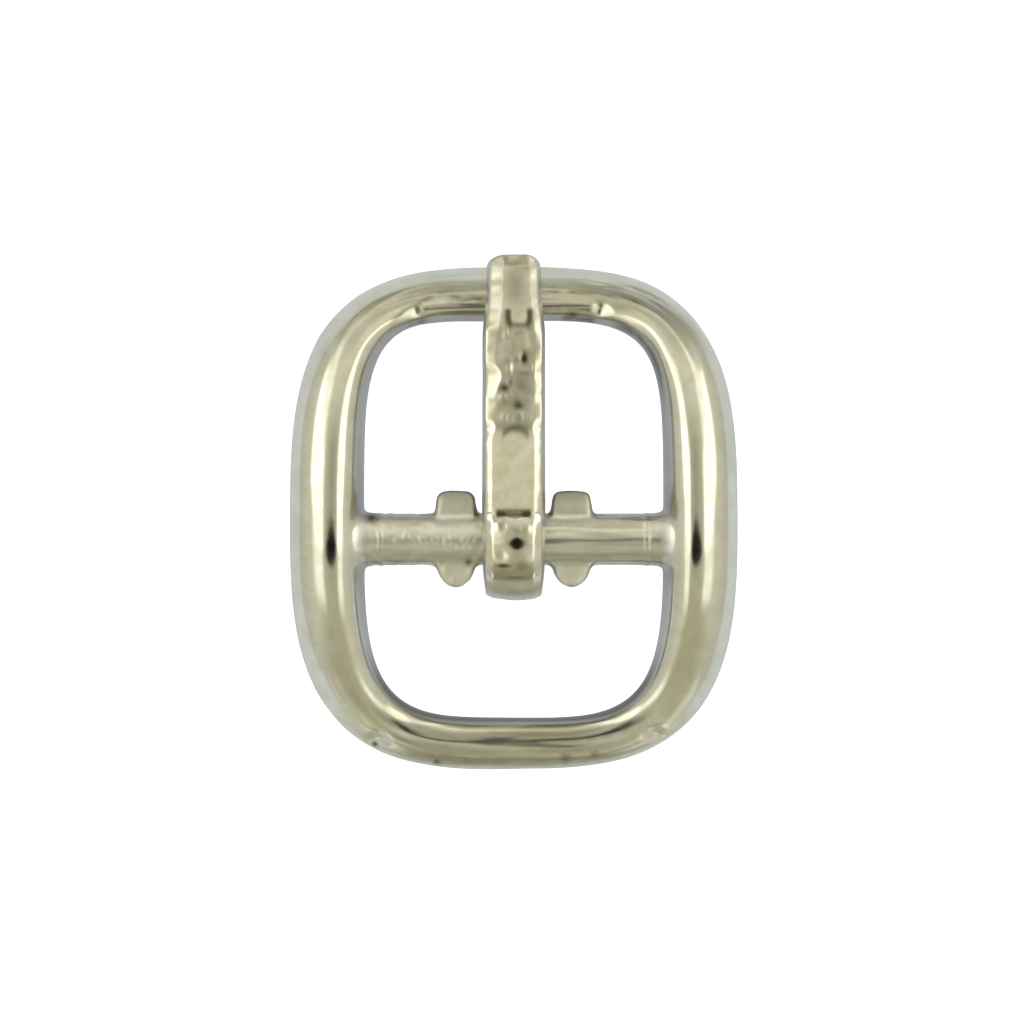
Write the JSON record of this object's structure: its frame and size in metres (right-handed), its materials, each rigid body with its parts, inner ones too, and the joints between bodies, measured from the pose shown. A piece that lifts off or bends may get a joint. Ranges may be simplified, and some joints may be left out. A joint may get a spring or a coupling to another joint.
{
  "type": "center bar buckle",
  "caption": "Arched oval strap buckle with a bar across its middle, stop tabs on the bar and a hinged tongue that rests on the end rail.",
  "frame": {"origin": "middle of the buckle's outline, on the surface that it lies on", "axes": "+X along the centre bar and the strap's width, +Y along the strap towards the tongue's tip, +Z out of the buckle's front"},
  "size_m": [0.0198, 0.023, 0.0059],
  "materials": {
    "nickel_casting": "bright nickel plate on a zinc die casting",
    "nickel_tongue": "bright nickel plate on a bent steel strip"
  },
  "bodies": {
    "frame": {"frame": "nickel_casting"},
    "tongue": {"tongue": "nickel_tongue"}
  },
  "joints": [
    {"name": "tongue_pivot", "type": "hinge", "parent": "frame", "child": "tongue", "pos_m": [0, -0.00115, 0.0032], "axis": [1, 0, 0], "range_deg": [0, 180]}
  ]
}
